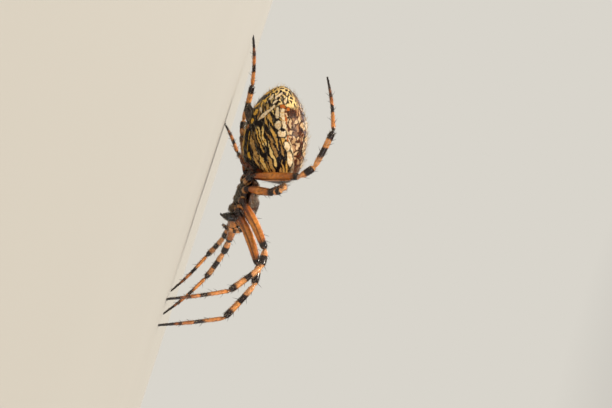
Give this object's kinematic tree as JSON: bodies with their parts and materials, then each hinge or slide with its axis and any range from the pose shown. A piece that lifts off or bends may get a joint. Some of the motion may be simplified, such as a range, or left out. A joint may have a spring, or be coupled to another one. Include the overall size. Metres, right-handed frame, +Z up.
{
  "type": "orb weaver spider",
  "caption": "Still life-size model of an orb weaver spider standing on its feet, rear right legs lifted, with a black, yellow and cream abdomen and ringed amber legs.",
  "frame": {"origin": "centre of the bounding box at floor level, on which the feet stand", "axes": "-Y the way the head faces, +Y towards the rear, +X the spider's left side, +Z up"},
  "size_m": [0.0176, 0.0314, 0.01],
  "materials": {
    "carapace_shell": "dark brown shell, satin, with fine pale hairs",
    "sternum_shell": "black-brown shell, satin, with white hairs",
    "jaw_shell": "glossy black-brown shell",
    "mouth_skin": "brown skin with a pale hairy rim",
    "leg_skin": "amber to orange, ringed with black-brown, satin",
    "eye_lens": "glossy black",
    "abdomen_skin": "black with yellow and tan streaks and cream lobes, satin",
    "waist_skin": "dark brown, satin",
    "spinneret_skin": "black, wrinkled",
    "epigyne_shell": "reddish brown, glossy"
  },
  "bodies": {
    "root": {"carapace": "carapace_shell", "sternum": "sternum_shell", "chelicera_left": "jaw_shell", "maxilla_left": "mouth_skin", "palp_left": "leg_skin", "eye_front_middle_left": "eye_lens", "eye_rear_middle_left": "eye_lens", "eye_front_side_left": "eye_lens", "eye_rear_side_left": "eye_lens", "leg1_left_coxa": "leg_skin", "leg1_left_femur": "leg_skin", "leg1_left_patella": "leg_skin", "leg1_left_tibia": "leg_skin", "leg1_left_foot": "leg_skin", "leg2_left_coxa": "leg_skin", "leg2_left_femur": "leg_skin", "leg2_left_patella": "leg_skin", "leg2_left_tibia": "leg_skin", "leg2_left_foot": "leg_skin", "leg3_left_coxa": "leg_skin", "leg3_left_femur": "leg_skin", "leg3_left_patella": "leg_skin", "leg3_left_tibia": "leg_skin", "leg3_left_foot": "leg_skin", "leg4_left_coxa": "leg_skin", "leg4_left_femur": "leg_skin", "leg4_left_patella": "leg_skin", "leg4_left_tibia": "leg_skin", "leg4_left_foot": "leg_skin", "chelicera_right": "jaw_shell", "maxilla_right": "mouth_skin", "palp_right": "leg_skin", "eye_front_middle_right": "eye_lens", "eye_rear_middle_right": "eye_lens", "eye_front_side_right": "eye_lens", "eye_rear_side_right": "eye_lens", "leg1_right_coxa": "leg_skin", "leg1_right_femur": "leg_skin", "leg1_right_patella": "leg_skin", "leg1_right_tibia": "leg_skin", "leg1_right_foot": "leg_skin", "leg2_right_coxa": "leg_skin", "leg2_right_femur": "leg_skin", "leg2_right_patella": "leg_skin", "leg2_right_tibia": "leg_skin", "leg2_right_foot": "leg_skin", "leg3_right_coxa": "leg_skin", "leg3_right_femur": "leg_skin", "leg3_right_patella": "leg_skin", "leg3_right_tibia": "leg_skin", "leg3_right_foot": "leg_skin", "leg4_right_coxa": "leg_skin", "leg4_right_femur": "leg_skin", "leg4_right_patella": "leg_skin", "leg4_right_tibia": "leg_skin", "leg4_right_foot": "leg_skin", "abdomen": "abdomen_skin", "pedicel": "waist_skin", "spinnerets": "spinneret_skin", "epigyne": "epigyne_shell"}
  },
  "joints": []
}
